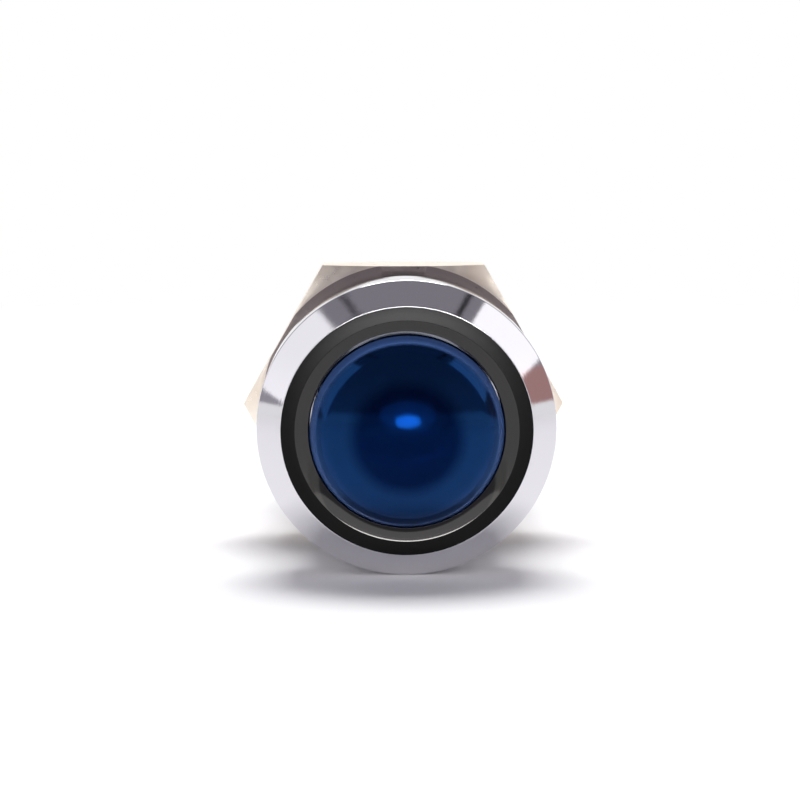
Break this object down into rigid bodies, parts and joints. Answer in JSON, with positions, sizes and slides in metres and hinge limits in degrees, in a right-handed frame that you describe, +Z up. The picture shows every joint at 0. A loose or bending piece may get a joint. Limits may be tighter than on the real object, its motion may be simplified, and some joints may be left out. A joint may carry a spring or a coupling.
{
  "type": "panel pilot light",
  "caption": "Round panel-mounted pilot light with a domed blue lens, a bevelled chrome bezel, a threaded barrel, a hexagon nut and rear solder tabs.",
  "frame": {"origin": "on the lamp axis, in the plane of the flange's rear face, which seats on the panel", "axes": "+Y back along the barrel to the terminals, -Y out through the lens, +Z up through a flat of the nut"},
  "size_m": [0.0162, 0.0245, 0.014],
  "materials": {
    "bezel_chrome": "turned brass, bright plated, with fine turning marks",
    "lens_blue": "clear tinted polycarbonate, polished",
    "seal_rubber": "matt black rubber",
    "reflector_silver": "metallised moulding, satin",
    "led_epoxy": "clear cast epoxy",
    "lead_tin": "tinned steel",
    "die_yellow": "bare chip with phosphor tint",
    "spacer_nylon": "natural nylon",
    "board_green": "glass-epoxy board with green mask",
    "resistor_black": "black glazed film with tinned ends",
    "diode_black": "black moulding compound",
    "solder_tin": "solder, dull bright",
    "terminal_tin": "brass sheet, tinned",
    "plug_black": "black nylon, fine spark texture",
    "resin_dark": "black potting resin",
    "gasket_rubber": "matt black rubber",
    "nut_nickel": "brass, nickel plated, warm tint"
  },
  "bodies": {
    "lamp": {"bezel_housing": "bezel_chrome", "lens": "lens_blue", "lens_seal": "seal_rubber", "reflector": "reflector_silver", "led_body": "led_epoxy", "led_anode_post": "lead_tin", "led_cathode_anvil": "lead_tin", "led_die": "die_yellow", "led_spacer": "spacer_nylon", "circuit_board": "board_green", "series_resistor_1": "resistor_black", "series_resistor_2": "resistor_black", "reverse_diode": "diode_black", "solder_joints": "solder_tin", "terminal_positive": "terminal_tin", "terminal_negative": "terminal_tin", "rear_plug": "plug_black", "potting_resin": "resin_dark"},
    "gasket": {"panel_gasket": "gasket_rubber"},
    "nut": {"hex_nut": "nut_nickel"}
  },
  "joints": [
    {"name": "nut_travel", "type": "slide", "parent": "lamp", "child": "gasket", "axis": [0, 1, 0], "range_m": [-0.0035, 0.0101]},
    {"name": "nut_turn", "type": "hinge", "parent": "gasket", "child": "nut", "pos_m": [0, 0.00446, 0], "axis": [0, 1, 0], "range_deg": [-1682, 4849]}
  ],
  "couplings": [
    {"joint": "nut_turn", "follows": "nut_travel", "rad_per_m": 8377.6}
  ]
}
